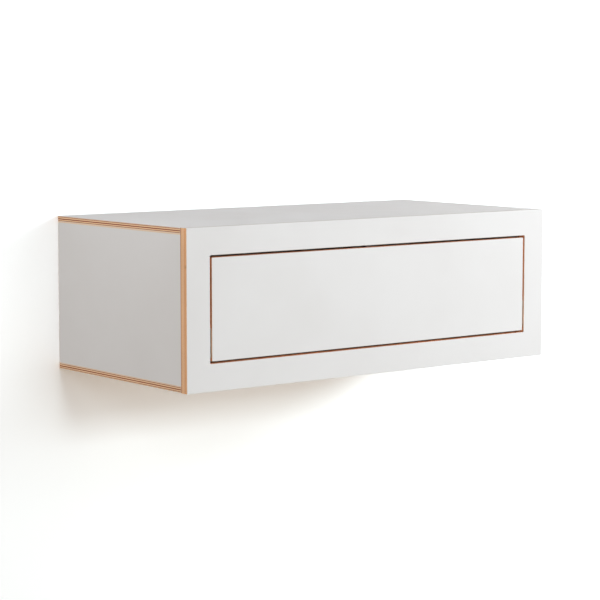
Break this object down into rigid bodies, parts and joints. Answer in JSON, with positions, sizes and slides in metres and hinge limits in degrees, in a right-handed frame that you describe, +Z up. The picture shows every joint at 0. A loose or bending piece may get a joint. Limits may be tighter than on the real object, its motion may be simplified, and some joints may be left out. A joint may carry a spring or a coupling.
{
  "type": "floating wall desk",
  "caption": "Wall-hung plywood desk case with white faces and bare ply edges, whose front flap drops down on pivot hinges and stays to give a writing surface.",
  "frame": {"origin": "middle of the row of wall screws, on the wall plane", "axes": "+X to the right as seen from the front, +Y into the wall, +Z up"},
  "size_m": [0.8, 0.39, 0.27],
  "materials": {
    "white_faced_plywood": "satin",
    "birch_plywood": "matte",
    "beech_dowel": "matte",
    "zinc_plated_screw": "satin",
    "white_nylon": "matte",
    "grey_plastic": "matte",
    "nickel_magnet": "polished",
    "felt_buffer": "matte",
    "spring_wire": "satin",
    "nickel_plated_steel": "satin"
  },
  "bodies": {
    "case": {"top_panel": "white_faced_plywood", "bottom_panel": "white_faced_plywood", "right_side_panel": "white_faced_plywood", "left_side_panel": "white_faced_plywood", "back_panel": "white_faced_plywood", "front_frame": "white_faced_plywood", "cabinet_cleat": "birch_plywood", "wall_cleat": "birch_plywood", "case_dowels": "beech_dowel", "frame_dowels": "beech_dowel", "cleat_dowels": "beech_dowel", "cleat_screws": "zinc_plated_screw", "hinge_frame_screws": "zinc_plated_screw", "stay_bracket_screws": "zinc_plated_screw", "latch_screws": "zinc_plated_screw", "right_hinge_frame_leaf": "nickel_plated_steel", "left_hinge_frame_leaf": "nickel_plated_steel", "right_stay_spacer": "nickel_plated_steel", "right_stay_bracket": "nickel_plated_steel", "right_stay_stud": "nickel_plated_steel", "right_stay_lock_nut": "nickel_plated_steel", "left_stay_bracket": "nickel_plated_steel", "left_stay_stud": "nickel_plated_steel", "left_stay_spacer": "nickel_plated_steel", "left_stay_lock_nut": "nickel_plated_steel", "stay_washers": "white_nylon", "latch_housing": "grey_plastic", "latch_buffer": "felt_buffer", "latch_spring": "spring_wire"},
    "drop_flap": {"flap": "white_faced_plywood", "hinge_flap_screws": "zinc_plated_screw", "flap_bracket_screws": "zinc_plated_screw", "strike_screw": "zinc_plated_screw", "right_hinge_flap_leaf": "nickel_plated_steel", "right_hinge_pin": "nickel_plated_steel", "right_hinge_washer": "white_nylon", "left_hinge_flap_leaf": "nickel_plated_steel", "left_hinge_pin": "nickel_plated_steel", "left_hinge_washer": "white_nylon", "right_flap_bracket": "nickel_plated_steel", "right_stay_rivet": "nickel_plated_steel", "left_flap_bracket": "nickel_plated_steel", "left_stay_rivet": "nickel_plated_steel", "rivet_washers": "white_nylon", "strike_plate": "nickel_plated_steel"},
    "right_arm": {"right_stay_arm": "nickel_plated_steel"},
    "left_arm": {"left_stay_arm": "nickel_plated_steel"},
    "plunger": {"latch_plunger": "grey_plastic", "latch_magnet": "nickel_magnet"}
  },
  "joints": [
    {"name": "flap_hinge", "type": "hinge", "parent": "case", "child": "drop_flap", "pos_m": [0, -0.381, -0.121], "axis": [1, 0, 0], "range_deg": [0, 90]},
    {"name": "right_stay_pivot", "type": "hinge", "parent": "drop_flap", "child": "right_arm", "pos_m": [0.3395, -0.36, 0.0073], "axis": [1, 0, 0], "range_deg": [-45, 0]},
    {"name": "left_stay_pivot", "type": "hinge", "parent": "drop_flap", "child": "left_arm", "pos_m": [-0.3395, -0.36, 0.0073], "axis": [1, 0, 0], "range_deg": [-45, 0]},
    {"name": "latch_slide", "type": "slide", "parent": "case", "child": "plunger", "axis": [0, -1, 0], "range_m": [0, 0.014]}
  ],
  "couplings": [
    {"joint": "right_stay_pivot", "follows": "flap_hinge", "ratio": -0.5},
    {"joint": "left_stay_pivot", "follows": "flap_hinge", "ratio": -0.5},
    {"joint": "latch_slide", "follows": "flap_hinge", "m_per_rad": 0.0089126}
  ]
}
